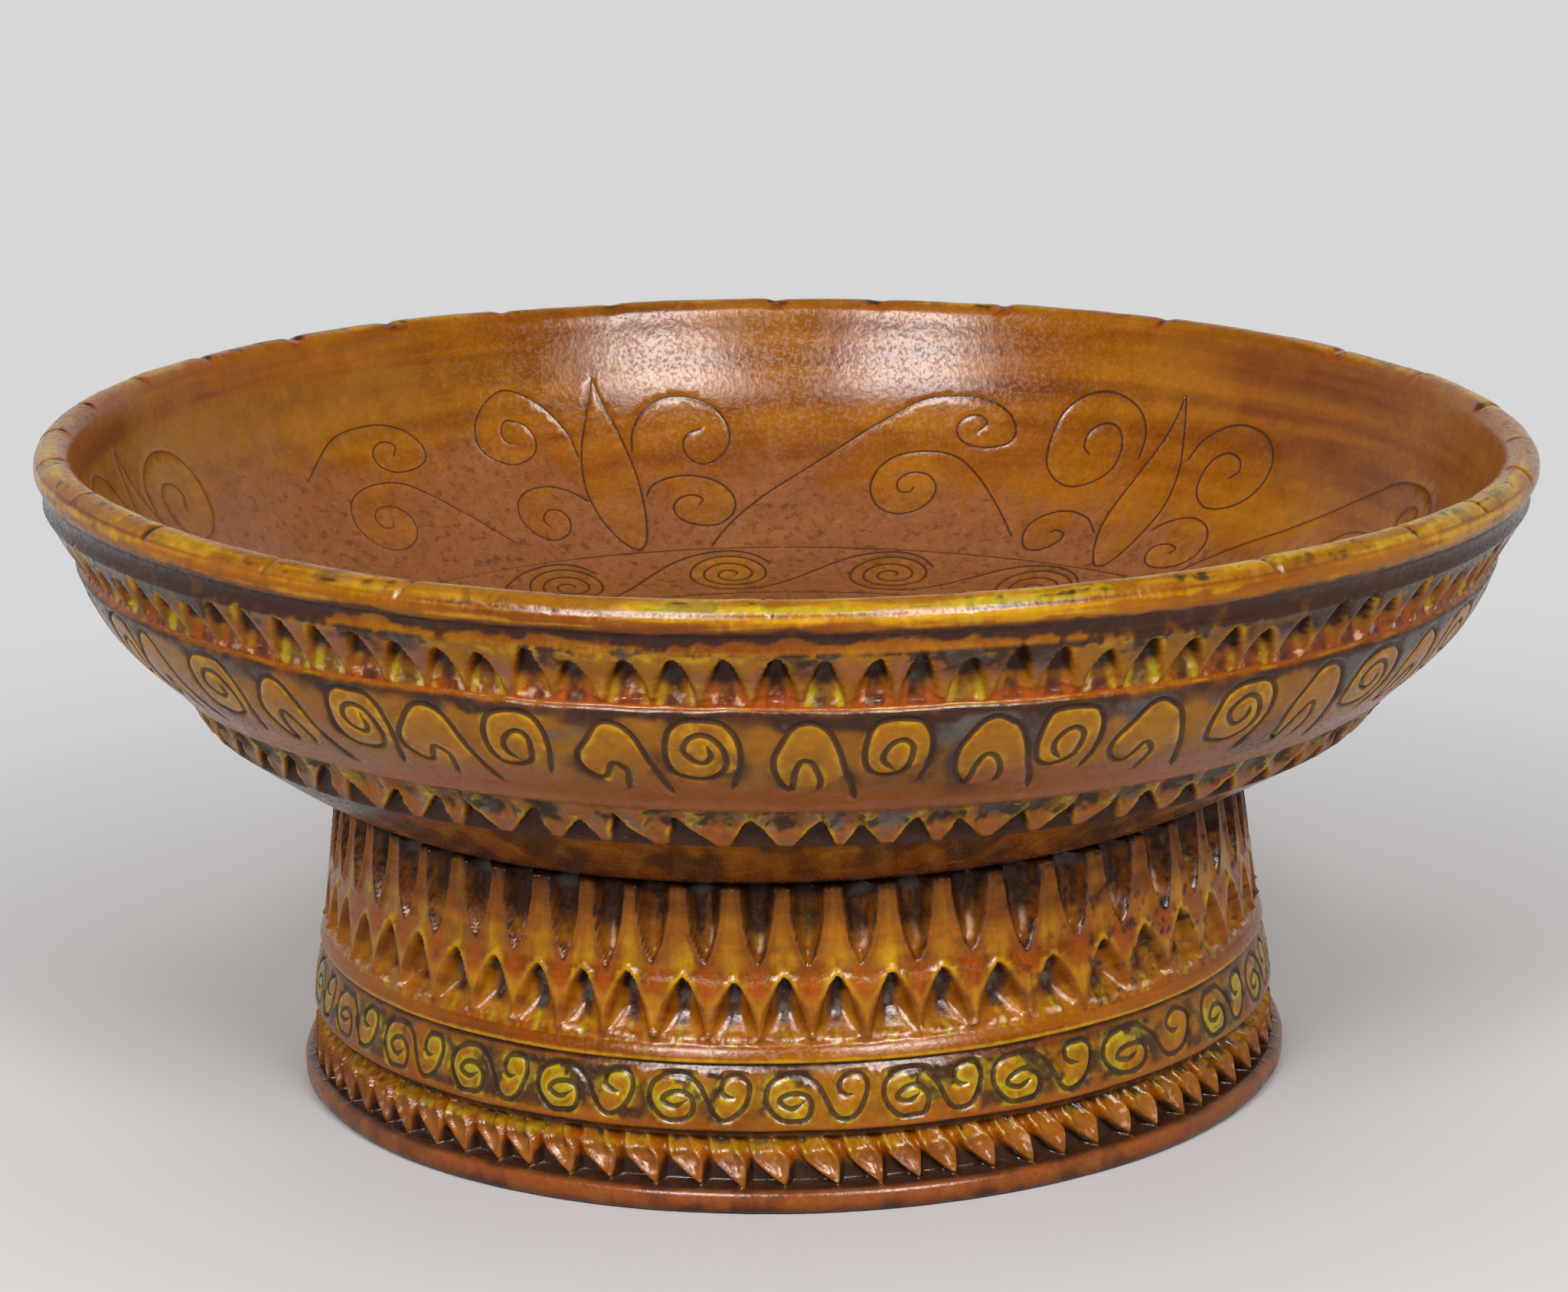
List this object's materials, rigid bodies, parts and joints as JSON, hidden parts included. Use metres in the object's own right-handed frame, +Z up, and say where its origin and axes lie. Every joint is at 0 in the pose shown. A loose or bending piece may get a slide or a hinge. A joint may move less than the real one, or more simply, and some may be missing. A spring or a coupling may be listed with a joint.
{
  "type": "footed serving bowl",
  "caption": "Wide footed bowl in glazed earthenware with carved gouge bands, a notched rolled rim and a hollow fluted foot.",
  "frame": {"origin": "centre of the circle that the foot rests on", "axes": "+Z up along the turning axis, the pictured side faces -Y"},
  "size_m": [0.295, 0.2951, 0.1285],
  "materials": {
    "bowl_glaze": "glossy amber-brown glaze over carved earthenware",
    "foot_glaze": "glossy amber-ochre glaze, dark in the cuts",
    "slip": "fired slip under pooled glaze"
  },
  "bodies": {
    "root": {"bowl": "bowl_glaze", "foot": "foot_glaze", "slip_seam": "slip"}
  },
  "joints": []
}
